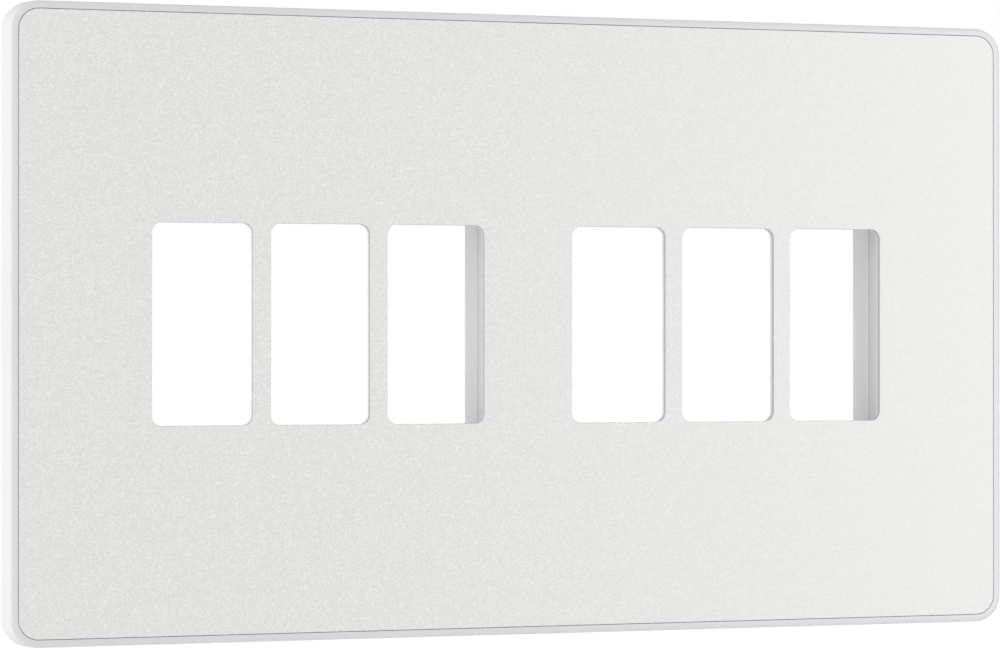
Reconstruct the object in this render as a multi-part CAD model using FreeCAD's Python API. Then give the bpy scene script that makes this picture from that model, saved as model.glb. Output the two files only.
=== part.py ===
import FreeCAD, Part
import math
import os
from FreeCAD import Vector

# Empty cover plate for six small switch modules, in millimetres.
# X runs along the width and Z is up. The plate faces -Y and lies on the wall, the plane Y = 0.
# The windows of its frame reach through that plane into the wall box.
# The origin is the point of the wall midway between the two fixing screws.

# Plate as a whole: the outline at its front edge, and how far it stands off the wall
plate_width = 150.0
plate_height = 89.9
plate_depth = 6.60

# Pearl sheet and the rim that it sits in
rim_width = 1.05
panel_gap = 0.07
panel_thickness = 0.75
panel_corner_radius = 2.90
panel_edge_bevel = 0.07
rim_crown_radius = 2.40
rim_crown_width = 0.80
rim_crown_steps = 3
rim_edge_bevel = 0.12

# Apertures: each group is a row of equal windows with thin webs between them
group_count = 2
group_pitch = 61.87
modules_per_group = 3
aperture_width = 14.47
aperture_height = 28.64
aperture_corner_radius = 1.45
aperture_edge_bevel = 0.08
web_width = 2.58
web_thickness = 0.70

# Walls of the surround moulding; the skirt splays outwards towards the wall
front_wall_thickness = 1.50
skirt_thickness = 1.60
skirt_edge_thickness = 1.30
skirt_splay = 0.46
skirt_corner_radius = 4.20
skirt_wall_gap = 0.20
prise_notch_width = 12.00
prise_notch_depth = 0.90

# Collar round each group of apertures
collar_setback = 0.48
collar_end_setback = 0.55
collar_corner_radius = 0.40
collar_thickness = 1.30
collar_lip = 0.12

# Ribs behind the front wall
rib_thickness = 1.00
rib_height = 1.90
side_rib_spacing = 24.00

# Snap hooks along the top and the bottom of the cover
hooks_per_edge = 3
hook_width = 8.00
hook_thickness = 0.90
hook_flex_room = 1.00
hook_barb = 0.45
hook_barb_land = 0.40
hook_tip_gap = 0.35

# Frame that is screwed to the wall box: a flange on the wall, with a deep window for each group
frame_thickness = 1.20
frame_side_gap = 1.50
frame_corner_radius = 2.50
stiffener_thickness = 1.20
stiffener_height = 1.10
stiffener_side_inset = 3.00
window_height = 30.20
window_corner_radius = 0.60
window_wall = 1.48
window_reach = 3.40
window_mouth_ease = 0.43
window_rear_ease = -0.11
bridge_rib_thickness = 1.50
bridge_rib_reach = 2.00

# Catch posts of the frame, each on a springy tongue of the flange
post_thickness = 1.30
post_barb = 0.45
post_barb_land = 0.35
post_barb_length = 1.10
post_front_gap = 0.30
post_hook_gap = 0.10
post_catch_gap = 0.08
tongue_length = 6.50
tongue_slot_width = 1.00
tongue_side_land = 0.50

# Slots that the switch modules latch into, behind the wall plane
latch_slot_width = 8.00
latch_slot_length = 1.40
latch_slot_start = 1.00

# Fixing screws
fixing_pitch = 120.60
fixing_hole_radius = 2.10
screw_head_radius = 3.60
screw_head_height = 2.60
screw_head_clearance = 0.25

# Sizes that follow from the ones above
face_y = -plate_depth
sheet_back_y = face_y + panel_thickness
web_back_y = sheet_back_y + web_thickness
front_wall_back_y = sheet_back_y + front_wall_thickness
rib_back_y = front_wall_back_y + rib_height
frame_face_y = -frame_thickness
skirt_edge_y = -skirt_wall_gap

group_width = modules_per_group * aperture_width + (modules_per_group - 1) * web_width
module_pitch = aperture_width + web_width
hook_pitch = (group_pitch + module_pitch) / 2
hook_inner_z = plate_height / 2 - skirt_thickness - hook_flex_room - hook_thickness

frame_inset = skirt_edge_thickness + frame_side_gap - skirt_splay
frame_width = plate_width - 2 * frame_inset
frame_height = plate_height - 2 * frame_inset

post_front_y = front_wall_back_y + post_front_gap
post_catch_y = post_front_y + post_barb_length
hook_catch_y = post_catch_y + post_catch_gap


def centred(count, pitch):
    """Places of equally spaced things about zero."""
    return [(index - (count - 1) / 2) * pitch for index in range(count)]


group_places = centred(group_count, group_pitch)
module_places = centred(modules_per_group, module_pitch)
window_places = [group_x + module_x for group_x in group_places for module_x in module_places]
hook_places = centred(hooks_per_edge, hook_pitch)
fixing_places = centred(2, fixing_pitch)
side_rib_places = centred(2, side_rib_spacing)


def outline(width, height, radius, y, x=0.0):
    """Rounded rectangle in the plane y, centred on the plate's mid-height at x."""
    reach_x = width / 2 - radius
    reach_z = height / 2 - radius
    corners = [(reach_x, reach_z), (-reach_x, reach_z), (-reach_x, -reach_z), (reach_x, -reach_z)]
    arcs = []
    for quarter, (corner_x, corner_z) in enumerate(corners):
        points = []
        for step in (0.0, 0.5, 1.0):
            angle = (quarter + step) * math.pi / 2
            points.append(Vector(x + corner_x + radius * math.cos(angle), y, corner_z + radius * math.sin(angle)))
        arcs.append(Part.Arc(*points).toShape())
    edges = []
    for index, arc in enumerate(arcs):
        following = arcs[(index + 1) % len(arcs)]
        edges.append(arc)
        edges.append(Part.LineSegment(arc.lastVertex().Point, following.firstVertex().Point).toShape())
    return Part.Wire(Part.__sortEdges__(edges))


def slab(width, height, radius, y_front, y_back, x=0.0):
    """Rounded rectangle carried from y_front back to y_back."""
    face = Part.Face(outline(width, height, radius, y_front, x))
    return face.extrude(Vector(0, y_back - y_front, 0))


def lofted(outlines):
    """Solid carried straight from each rounded outline to the next, as moulded walls with draft are."""
    return Part.makeLoft(outlines, True, True)


def block(x_range, y_range, z_range):
    """Plain block between two limits along each axis."""
    corner = Vector(x_range[0], y_range[0], z_range[0])
    length = x_range[1] - x_range[0]
    depth = y_range[1] - y_range[0]
    height = z_range[1] - z_range[0]
    return Part.makeBox(length, depth, height, corner)


def rod(radius, y_front, y_back, x):
    """Round bar along Y at mid-height."""
    return Part.makeCylinder(radius, y_back - y_front, Vector(x, y_front, 0), Vector(0, 1, 0))


def strip(profile, width, x):
    """Straight piece with a profile of (y, z) points, width long and centred at x."""
    points = [Vector(x - width / 2, y, z) for y, z in profile]
    face = Part.Face(Part.makePolygon(points + points[:1]))
    return face.extrude(Vector(width, 0, 0))


def both_edges(shapes):
    """Shapes of the upper edge together with the same ones turned over for the lower edge."""
    lower = [shape.mirror(Vector(0, 0, 0), Vector(0, 0, 1)) for shape in shapes]
    return list(shapes) + lower


def sheet_window(x):
    """One aperture through the pearl sheet, with a bevel at its front edge."""
    bevel = aperture_edge_bevel
    front = outline(aperture_width + 2 * bevel, aperture_height + 2 * bevel, aperture_corner_radius + bevel, face_y, x)
    throat = outline(aperture_width, aperture_height, aperture_corner_radius, face_y + bevel, x)
    back = outline(aperture_width, aperture_height, aperture_corner_radius, sheet_back_y, x)
    return lofted([front, throat, back])


def face_panel():
    """Pearl sheet with a bevel round its outer edge and round its six apertures."""
    width = plate_width - 2 * (rim_width + panel_gap)
    height = plate_height - 2 * (rim_width + panel_gap)
    radius = panel_corner_radius - panel_gap
    bevel = panel_edge_bevel
    front = outline(width - 2 * bevel, height - 2 * bevel, radius - bevel, face_y)
    edge = outline(width, height, radius, face_y + bevel)
    back = outline(width, height, radius, sheet_back_y)
    sheet = lofted([front, edge, back])
    return sheet.cut([sheet_window(x) for x in window_places])


def inset_outline(inset, y):
    """Outline of the plate drawn in by an inset on every side."""
    corner = panel_corner_radius + rim_width
    return outline(plate_width - 2 * inset, plate_height - 2 * inset, corner - inset, y)


def splayed_outline(inset):
    """Outline of the skirt at its wall edge, drawn in by an inset on every side."""
    width = plate_width + 2 * (skirt_splay - inset)
    height = plate_height + 2 * (skirt_splay - inset)
    return outline(width, height, skirt_corner_radius - inset, skirt_edge_y)


def cover_blank():
    """Outside of the cover: a rim that is crowned outwards, a bevelled edge and a splayed skirt."""
    outlines = []
    crown_angle = math.asin(rim_crown_width / rim_crown_radius)
    for step in range(rim_crown_steps + 1):
        angle = crown_angle * step / rim_crown_steps
        inset = rim_edge_bevel + rim_crown_width - rim_crown_radius * math.sin(angle)
        drop = rim_crown_radius * (1 - math.cos(angle))
        outlines.append(inset_outline(inset, face_y + drop))
    outlines.append(inset_outline(0, face_y + drop + rim_edge_bevel))
    outlines.append(splayed_outline(0))
    return lofted(outlines)


def sheet_recess():
    """Shallow tray in the front that the pearl sheet lies in."""
    width = plate_width - 2 * rim_width
    height = plate_height - 2 * rim_width
    return slab(width, height, panel_corner_radius, face_y, sheet_back_y)


def skirt_hollow():
    """Room behind the front wall, a little wider at the wall edge for draft."""
    return lofted([inset_outline(skirt_thickness, front_wall_back_y), splayed_outline(skirt_edge_thickness)])


def collar(group_x):
    """Wall round one group of apertures, from the front wall back to the frame."""
    width = group_width + 2 * (collar_setback + collar_thickness)
    height = aperture_height + 2 * (collar_end_setback + collar_thickness)
    return slab(width, height, collar_corner_radius + collar_thickness, web_back_y, frame_face_y, group_x)


def collar_pocket(group_x):
    """Room inside one collar, with its edge eased where it meets the frame."""
    width = group_width + 2 * collar_setback
    height = aperture_height + 2 * collar_end_setback
    radius = collar_corner_radius
    front = outline(width, height, radius, web_back_y, group_x)
    lip = outline(width, height, radius, frame_face_y - collar_lip, group_x)
    back = outline(width + 2 * collar_lip, height + 2 * collar_lip, radius + collar_lip, frame_face_y, group_x)
    return lofted([front, lip, back])


def cover_ribs():
    """Ribs from the collars out to the skirt, and between the two collars."""
    y_range = (web_back_y, rib_back_y)
    collar_half_width = group_width / 2 + collar_setback + collar_thickness / 2
    collar_half_height = aperture_height / 2 + collar_end_setback + collar_thickness / 2
    skirt_x = plate_width / 2 - skirt_thickness / 2
    skirt_z = plate_height / 2 - skirt_thickness / 2
    half = rib_thickness / 2
    upright = [block((x - half, x + half), y_range, (collar_half_height, skirt_z)) for x in window_places]
    outer_x = group_places[-1] + collar_half_width
    inner_x = group_places[-1] - collar_half_width
    level = []
    for rib_z in side_rib_places:
        for x_range in ((-skirt_x, -outer_x), (-inner_x, inner_x), (outer_x, skirt_x)):
            level.append(block(x_range, y_range, (rib_z - half, rib_z + half)))
    return both_edges(upright) + level


def hook(x):
    """One snap hook of the upper edge: a short arm whose barb catches behind a post of the frame."""
    tip_y = frame_face_y - hook_tip_gap
    barb_z = hook_inner_z - hook_barb
    outer_z = hook_inner_z + hook_thickness
    profile = [
        (web_back_y, hook_inner_z),
        (hook_catch_y, hook_inner_z),
        (hook_catch_y, barb_z),
        (hook_catch_y + hook_barb_land, barb_z),
        (tip_y, hook_inner_z),
        (tip_y, outer_z),
        (web_back_y, outer_z),
    ]
    return strip(profile, hook_width, x)


def screw_head_reliefs():
    """Room for the two screw heads, scooped out of the outside of the collars."""
    radius = screw_head_radius + screw_head_clearance
    return [rod(radius, frame_face_y - screw_head_height, frame_face_y, x) for x in fixing_places]


def prise_notch():
    """Notch in the lower edge of the skirt, where a blade lifts the cover off."""
    half = prise_notch_width / 2
    skirt_z = plate_height / 2 - skirt_thickness
    edge_z = plate_height / 2 + skirt_splay
    return block((-half, half), (skirt_edge_y - prise_notch_depth, skirt_edge_y), (-edge_z, -skirt_z))


def surround_moulding():
    """Cover moulding: rim, splayed skirt, front wall, collars, ribs and hooks."""
    cover = cover_blank()
    cover = cover.cut([sheet_recess(), skirt_hollow()])
    cover = cover.fuse([collar(x) for x in group_places] + cover_ribs() + both_edges([hook(x) for x in hook_places]))
    openings = [slab(aperture_width, aperture_height, aperture_corner_radius, sheet_back_y, web_back_y, x)
                for x in window_places]
    pockets = [collar_pocket(x) for x in group_places]
    cover = cover.cut(openings + pockets + screw_head_reliefs() + [prise_notch()])
    return cover.removeSplitter()


def window_sleeve(group_x):
    """Deep wall round one window of the frame, from the flange back into the wall box."""
    width = group_width + 2 * window_wall
    height = window_height + 2 * window_wall
    return slab(width, height, window_corner_radius + window_wall, frame_face_y, window_reach, group_x)


def frame_window(group_x):
    """Room inside one window of the frame: its walls close in a little towards the back."""
    outlines = []
    for ease, y in ((window_mouth_ease, frame_face_y), (window_rear_ease, window_reach)):
        radius = window_corner_radius + ease
        outlines.append(outline(group_width + 2 * ease, window_height + 2 * ease, radius, y, group_x))
    return lofted(outlines)


def stiffener():
    """Raised rib that runs round the front of the flange, inside the springy tongues."""
    inset = tongue_length + tongue_side_land
    width = frame_width - 2 * (stiffener_side_inset + stiffener_thickness)
    height = frame_height - 2 * (inset + stiffener_thickness)
    radius = frame_corner_radius
    y_front = frame_face_y - stiffener_height
    ring = slab(width + 2 * stiffener_thickness, height + 2 * stiffener_thickness, radius + stiffener_thickness,
                y_front, 0)
    return ring.cut(slab(width, height, radius, y_front, 0))


def bridge_ribs():
    """Ribs behind the flange that tie the two window sleeves together."""
    reach_x = group_pitch / 2 - group_width / 2 - window_wall / 2
    half = bridge_rib_thickness / 2
    return [block((-reach_x, reach_x), (frame_face_y, bridge_rib_reach), (z - half, z + half)) for z in side_rib_places]


def catch_post(x):
    """One post of the upper edge, with the barb that a hook of the cover snaps over."""
    tip_z = hook_inner_z - post_hook_gap
    outer_z = tip_z - post_barb
    inner_z = outer_z - post_thickness
    profile = [
        (0, outer_z),
        (post_catch_y, outer_z),
        (post_catch_y, tip_z),
        (post_catch_y - post_barb_land, tip_z),
        (post_front_y, outer_z),
        (post_front_y, inner_z),
        (0, inner_z),
    ]
    return strip(profile, hook_width, x)


def tongue_slots():
    """Two slots beside each post of the upper edge, open at the edge of the flange."""
    z_range = (frame_height / 2 - tongue_length, frame_height / 2)
    reach = hook_width / 2 + tongue_side_land + tongue_slot_width / 2
    half = tongue_slot_width / 2
    slots = []
    for hook_x in hook_places:
        for x in (hook_x - reach, hook_x + reach):
            slots.append(block((x - half, x + half), (frame_face_y, 0), z_range))
    return slots


def latch_slots():
    """Slots through the top wall of each window, one for each module."""
    y_range = (latch_slot_start, latch_slot_start + latch_slot_length)
    z_range = (window_height / 2 + window_rear_ease, window_height / 2 + window_wall)
    half = latch_slot_width / 2
    return [block((x - half, x + half), y_range, z_range) for x in window_places]


def grid_frame():
    """Frame on the wall: flange, stiffener, two deep windows, catch posts and latch slots."""
    frame = slab(frame_width, frame_height, frame_corner_radius, frame_face_y, 0)
    sleeves = [window_sleeve(x) for x in group_places]
    posts = both_edges([catch_post(x) for x in hook_places])
    frame = frame.fuse(sleeves + posts + bridge_ribs() + [stiffener()])
    windows = [frame_window(x) for x in group_places]
    holes = [rod(fixing_hole_radius, frame_face_y, 0, x) for x in fixing_places]
    frame = frame.cut(windows + holes + both_edges(tongue_slots() + latch_slots()))
    return frame.removeSplitter()


def save(name, shape):
    """Writes one piece, which has to be a single solid."""
    (solid,) = shape.Solids
    solid.exportStep("parts/" + name + ".step")
    print(name, "valid", solid.isValid(), "volume", round(solid.Volume, 2))


def main():
    os.makedirs("parts", exist_ok=True)
    save("face_panel", face_panel())
    save("surround_moulding", surround_moulding())
    save("grid_frame", grid_frame())


main()
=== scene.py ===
import math

import bpy
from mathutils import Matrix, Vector

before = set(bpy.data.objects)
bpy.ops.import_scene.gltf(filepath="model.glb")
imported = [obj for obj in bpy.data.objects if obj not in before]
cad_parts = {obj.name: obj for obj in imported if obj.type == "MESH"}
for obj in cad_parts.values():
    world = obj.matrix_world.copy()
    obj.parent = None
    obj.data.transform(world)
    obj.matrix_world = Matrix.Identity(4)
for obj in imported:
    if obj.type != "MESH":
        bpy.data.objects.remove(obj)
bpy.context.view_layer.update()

MM = 0.001

# Camera: where the photograph was taken from. Lens and sensor are in millimetres, as Blender wants them
EYE = Vector((-134.7, -443.2, -1.81)) * MM
YAW = math.radians(16.625)
PITCH = math.radians(0.213)
LENS = 113.28
SENSOR_WIDTH = 36
SHIFT_UP = 0.0013
CLIP_START = 0.01
CLIP_END = 100

# Pearl lacquer: a level of reflectance that each flake swings up or down, more at the left than at the
# right. That fall towards the right is painted glare, standing in for a sheen of light that washes the
# flakes out at the right
PEARL_LEVEL = 0.777
PEARL_BLUE_SHARE = 0.982
PEARL_SPECULAR = 0.5
FLAKE_SIZE = 0.185 * MM
FLAKE_SWING_LEFT = 0.124
FLAKE_SWING_RIGHT = 0.049
SWING_LEFT_X = -40 * MM
SWING_RIGHT_X = 85 * MM
FLAKE_ROUGHNESS_LOW = 0.38
FLAKE_ROUGHNESS_HIGH = 0.55
RIPPLE_SIZE = 0.35 * MM
RIPPLE_DEPTH = 0.02 * MM
RIPPLE_STRENGTH = 0.12

# Mean of the square of a value that is spread evenly from 0 to 1
MEAN_SQUARE = 1 / 3

# Bare cut edges of the apertures: their level beside the lacquer, how little they face forwards at the most,
# and how far from the centre they all lie
CUT_EDGE_LEVEL = 0.55
CUT_EDGE_FACING = 0.5
APERTURES_REACH_X = 65 * MM
APERTURES_REACH_Z = 20 * MM

# Moulded plastics: material name, linear colour, roughness, and size and depth of the satin texture
COVER_PLASTIC = ("white_cover_plastic", (0.700, 0.700, 0.710), 0.42, 0.25 * MM, 0.01 * MM)
FRAME_PLASTIC = ("white_frame_plastic", (0.880, 0.880, 0.868), 0.50, 0.30 * MM, 0.015 * MM)
TONE_SIZE = 14 * MM
TONE_SWING = 0.015
ROUGHNESS_SWING = 0.06
TEXTURE_DETAIL = 4.0
TEXTURE_STRENGTH = 0.15

# Strength of the even light from all sides
AMBIENT = 0.30

# Floor, in metres. Its glow lifts it to white for the rays that see it
FLOOR_REACH = 60.0
FLOOR_Z = -0.5
FLOOR_GREY = 0.86
FLOOR_ROUGHNESS = 0.9
FLOOR_GLOW = 0.76

# Softboxes: name, place, point they face, width and height, all in metres, and power in watts
SOFTBOXES = (
    ("left_side_softbox", (-0.50, 0.0, 0.05), (0, 0, 0), (0.08, 0.9), 0.70),
    ("left_grazing_softbox", (-0.50, -0.15, 0.05), (0, 0, 0), (0.20, 0.9), 1.48),
    ("left_front_softbox", (-0.42, -0.35, 0.05), (0, 0, 0), (0.25, 0.9), 0.78),
    ("left_back_softbox", (-0.35, 0.35, 0.0), (0, 0, 0), (0.30, 0.9), 0.20),
    ("right_front_softbox", (0.36, -0.40, 0.04), (0.07, 0, 0), (0.25, 0.5), 1.82),
    ("right_back_softbox", (0.45, 0.55, 0.35), (0, 0, 0), (0.60, 0.6), 2.0),
)


def new_material(name):
    """A material with one principled shader on its surface."""
    material = bpy.data.materials.new(name)
    material.use_nodes = True
    nodes = material.node_tree.nodes
    links = material.node_tree.links
    nodes.clear()
    output = nodes.new("ShaderNodeOutputMaterial")
    shader = nodes.new("ShaderNodeBsdfPrincipled")
    links.new(shader.outputs["BSDF"], output.inputs["Surface"])
    return material, nodes, links, shader


def object_coordinates(nodes):
    return nodes.new("ShaderNodeTexCoord").outputs["Object"]


def split_vector(nodes, links, vector):
    """Outputs X, Y and Z of a vector."""
    node = nodes.new("ShaderNodeSeparateXYZ")
    links.new(vector, node.inputs["Vector"])
    return node.outputs


def noise(nodes, links, place, feature_size, detail=3.0):
    """Noise whose features are about feature_size across."""
    texture = nodes.new("ShaderNodeTexNoise")
    texture.inputs["Scale"].default_value = 1 / feature_size
    texture.inputs["Detail"].default_value = detail
    links.new(place, texture.inputs["Vector"])
    return texture.outputs["Fac"]


def map_range(nodes, links, value, low, high, start=0.0, end=1.0, smooth=False):
    """Carries a value between start and end over to the range from low to high."""
    node = nodes.new("ShaderNodeMapRange")
    if smooth:
        node.interpolation_type = "SMOOTHSTEP"
    node.inputs["From Min"].default_value = start
    node.inputs["From Max"].default_value = end
    node.inputs["To Min"].default_value = low
    node.inputs["To Max"].default_value = high
    links.new(value, node.inputs["Value"])
    return node.outputs["Result"]


def math_node(nodes, links, operation, first, second):
    """One operation on two values, of which the second may be a plain number."""
    node = nodes.new("ShaderNodeMath")
    node.operation = operation
    links.new(first, node.inputs[0])
    if isinstance(second, (int, float)):
        node.inputs[1].default_value = second
    else:
        links.new(second, node.inputs[1])
    return node.outputs["Value"]


def add_bump(nodes, links, shader, height, strength, depth):
    """Fine relief on a shader."""
    bump = nodes.new("ShaderNodeBump")
    bump.inputs["Strength"].default_value = strength
    bump.inputs["Distance"].default_value = depth
    links.new(height, bump.inputs["Height"])
    links.new(bump.outputs["Normal"], shader.inputs["Normal"])


def within(nodes, links, coordinate, reach):
    """1 where a coordinate lies between minus reach and reach, else 0."""
    size = nodes.new("ShaderNodeMath")
    size.operation = "ABSOLUTE"
    links.new(coordinate, size.inputs[0])
    return math_node(nodes, links, "LESS_THAN", size.outputs["Value"], reach)


def cut_edge_factor(nodes, links, position):
    """1 on the lacquered sheet, and less on the bare cut edges of its apertures."""
    normal = split_vector(nodes, links, nodes.new("ShaderNodeTexCoord").outputs["Normal"])
    sideways = within(nodes, links, normal["Y"], CUT_EDGE_FACING)
    across = within(nodes, links, position["X"], APERTURES_REACH_X)
    upwards = within(nodes, links, position["Z"], APERTURES_REACH_Z)
    near = math_node(nodes, links, "MULTIPLY", across, upwards)
    bare = math_node(nodes, links, "MULTIPLY", sideways, near)
    return map_range(nodes, links, bare, 1.0, CUT_EDGE_LEVEL)


def white_seen_rays(nodes, links):
    """1 for the rays that see the backdrop itself: camera, glossy and transmission rays."""
    rays = nodes.new("ShaderNodeLightPath").outputs
    either = math_node(nodes, links, "MAXIMUM", rays["Is Camera Ray"], rays["Is Glossy Ray"])
    return math_node(nodes, links, "MAXIMUM", either, rays["Is Transmission Ray"])


def pearl_material():
    """Pearl lacquer: pale grey-white, with fine mica flakes that each shine a little differently. Their
    contrast fades towards the right as painted glare.
    """
    material, nodes, links, shader = new_material("pearl_white_lacquer")
    place = object_coordinates(nodes)
    position = split_vector(nodes, links, place)

    flakes = nodes.new("ShaderNodeTexVoronoi")
    flakes.inputs["Scale"].default_value = 1 / FLAKE_SIZE
    links.new(place, flakes.inputs["Vector"])
    flake = nodes.new("ShaderNodeSeparateColor")
    links.new(flakes.outputs["Color"], flake.inputs["Color"])

    # Painted glare: the flakes' contrast is made smaller towards the right, where a sheen of light washes
    # them out
    glare_faded_swing = map_range(nodes, links, position["X"], FLAKE_SWING_LEFT, FLAKE_SWING_RIGHT,
                      SWING_LEFT_X, SWING_RIGHT_X, smooth=True)
    shine = math_node(nodes, links, "MULTIPLY", flake.outputs["Red"], flake.outputs["Red"])
    shine = math_node(nodes, links, "SUBTRACT", shine, MEAN_SQUARE)
    shine = math_node(nodes, links, "MULTIPLY", shine, glare_faded_swing)
    level = math_node(nodes, links, "ADD", shine, PEARL_LEVEL)
    level = math_node(nodes, links, "MULTIPLY", level, cut_edge_factor(nodes, links, position))

    tint = nodes.new("ShaderNodeCombineColor")
    links.new(level, tint.inputs["Red"])
    links.new(level, tint.inputs["Green"])
    links.new(math_node(nodes, links, "MULTIPLY", level, PEARL_BLUE_SHARE), tint.inputs["Blue"])
    links.new(tint.outputs["Color"], shader.inputs["Base Color"])

    roughness = map_range(nodes, links, flake.outputs["Green"], FLAKE_ROUGHNESS_LOW, FLAKE_ROUGHNESS_HIGH)
    links.new(roughness, shader.inputs["Roughness"])
    add_bump(nodes, links, shader, noise(nodes, links, place, RIPPLE_SIZE), RIPPLE_STRENGTH, RIPPLE_DEPTH)
    shader.inputs["Specular IOR Level"].default_value = PEARL_SPECULAR
    return material


def moulding_material(name, colour, roughness, texture_size, texture_depth):
    """White moulded plastic: a nearly even colour under a very fine satin texture."""
    material, nodes, links, shader = new_material(name)
    place = object_coordinates(nodes)
    tone = nodes.new("ShaderNodeMix")
    tone.data_type = "RGBA"
    links.new(noise(nodes, links, place, TONE_SIZE), tone.inputs["Factor"])
    tone.inputs["A"].default_value = [c * (1 - TONE_SWING) for c in colour] + [1]
    tone.inputs["B"].default_value = [c * (1 + TONE_SWING) for c in colour] + [1]
    links.new(tone.outputs["Result"], shader.inputs["Base Color"])

    grain = noise(nodes, links, place, texture_size, TEXTURE_DETAIL)
    satin = map_range(nodes, links, grain, roughness - ROUGHNESS_SWING, roughness + ROUGHNESS_SWING)
    links.new(satin, shader.inputs["Roughness"])
    add_bump(nodes, links, shader, grain, TEXTURE_STRENGTH, texture_depth)
    return material


def set_finish(node_name, material):
    """Gives a carried-over piece its finish."""
    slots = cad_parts[node_name].data.materials
    slots.clear()
    slots.append(material)


def make_camera():
    data = bpy.data.cameras.new("camera")
    data.lens = LENS
    data.sensor_width = SENSOR_WIDTH
    data.shift_y = SHIFT_UP
    data.clip_start = CLIP_START
    data.clip_end = CLIP_END
    camera = bpy.data.objects.new("camera", data)
    bpy.context.scene.collection.objects.link(camera)
    camera.location = EYE
    camera.rotation_euler = (math.pi / 2 + PITCH, 0, -YAW)
    bpy.context.scene.camera = camera


def background(nodes, strength):
    """White light of the world at one strength."""
    node = nodes.new("ShaderNodeBackground")
    node.inputs["Color"].default_value = (1, 1, 1, 1)
    node.inputs["Strength"].default_value = strength
    return node.outputs["Background"]


def make_world():
    """Even light on the object, and plain white for the rays that see the world itself."""
    world = bpy.data.worlds.new("studio")
    world.use_nodes = True
    bpy.context.scene.world = world
    nodes = world.node_tree.nodes
    links = world.node_tree.links
    nodes.clear()
    output = nodes.new("ShaderNodeOutputWorld")
    mix = nodes.new("ShaderNodeMixShader")
    links.new(white_seen_rays(nodes, links), mix.inputs["Fac"])
    links.new(background(nodes, AMBIENT), mix.inputs[1])
    links.new(background(nodes, 1.0), mix.inputs[2])
    links.new(mix.outputs["Shader"], output.inputs["Surface"])


def make_floor():
    mesh = bpy.data.meshes.new("floor")
    signs = ((-1, -1), (1, -1), (1, 1), (-1, 1))
    corners = [(x * FLOOR_REACH, y * FLOOR_REACH, FLOOR_Z) for x, y in signs]
    mesh.from_pydata(corners, [], [(0, 1, 2, 3)])
    floor = bpy.data.objects.new("floor", mesh)
    bpy.context.scene.collection.objects.link(floor)
    material, nodes, links, shader = new_material("pale_floor")
    shader.inputs["Base Color"].default_value = (FLOOR_GREY, FLOOR_GREY, FLOOR_GREY, 1)
    shader.inputs["Roughness"].default_value = FLOOR_ROUGHNESS
    shader.inputs["Specular IOR Level"].default_value = 0.0
    shader.inputs["Emission Color"].default_value = (1, 1, 1, 1)
    glow = math_node(nodes, links, "MULTIPLY", white_seen_rays(nodes, links), FLOOR_GLOW)
    links.new(glow, shader.inputs["Emission Strength"])
    mesh.materials.append(material)


def area_light(name, place, target, size, power):
    data = bpy.data.lights.new(name, "AREA")
    data.shape = "RECTANGLE"
    data.size, data.size_y = size
    data.energy = power
    light = bpy.data.objects.new(name, data)
    bpy.context.scene.collection.objects.link(light)
    light.location = place
    direction = Vector(target) - Vector(place)
    light.rotation_euler = direction.to_track_quat("-Z", "Y").to_euler()
    light.visible_camera = False


set_finish("face_panel", pearl_material())
set_finish("surround_moulding", moulding_material(*COVER_PLASTIC))
set_finish("grid_frame", moulding_material(*FRAME_PLASTIC))

make_camera()
make_world()
make_floor()
for softbox in SOFTBOXES:
    area_light(*softbox)

bpy.context.scene.view_settings.view_transform = "Standard"
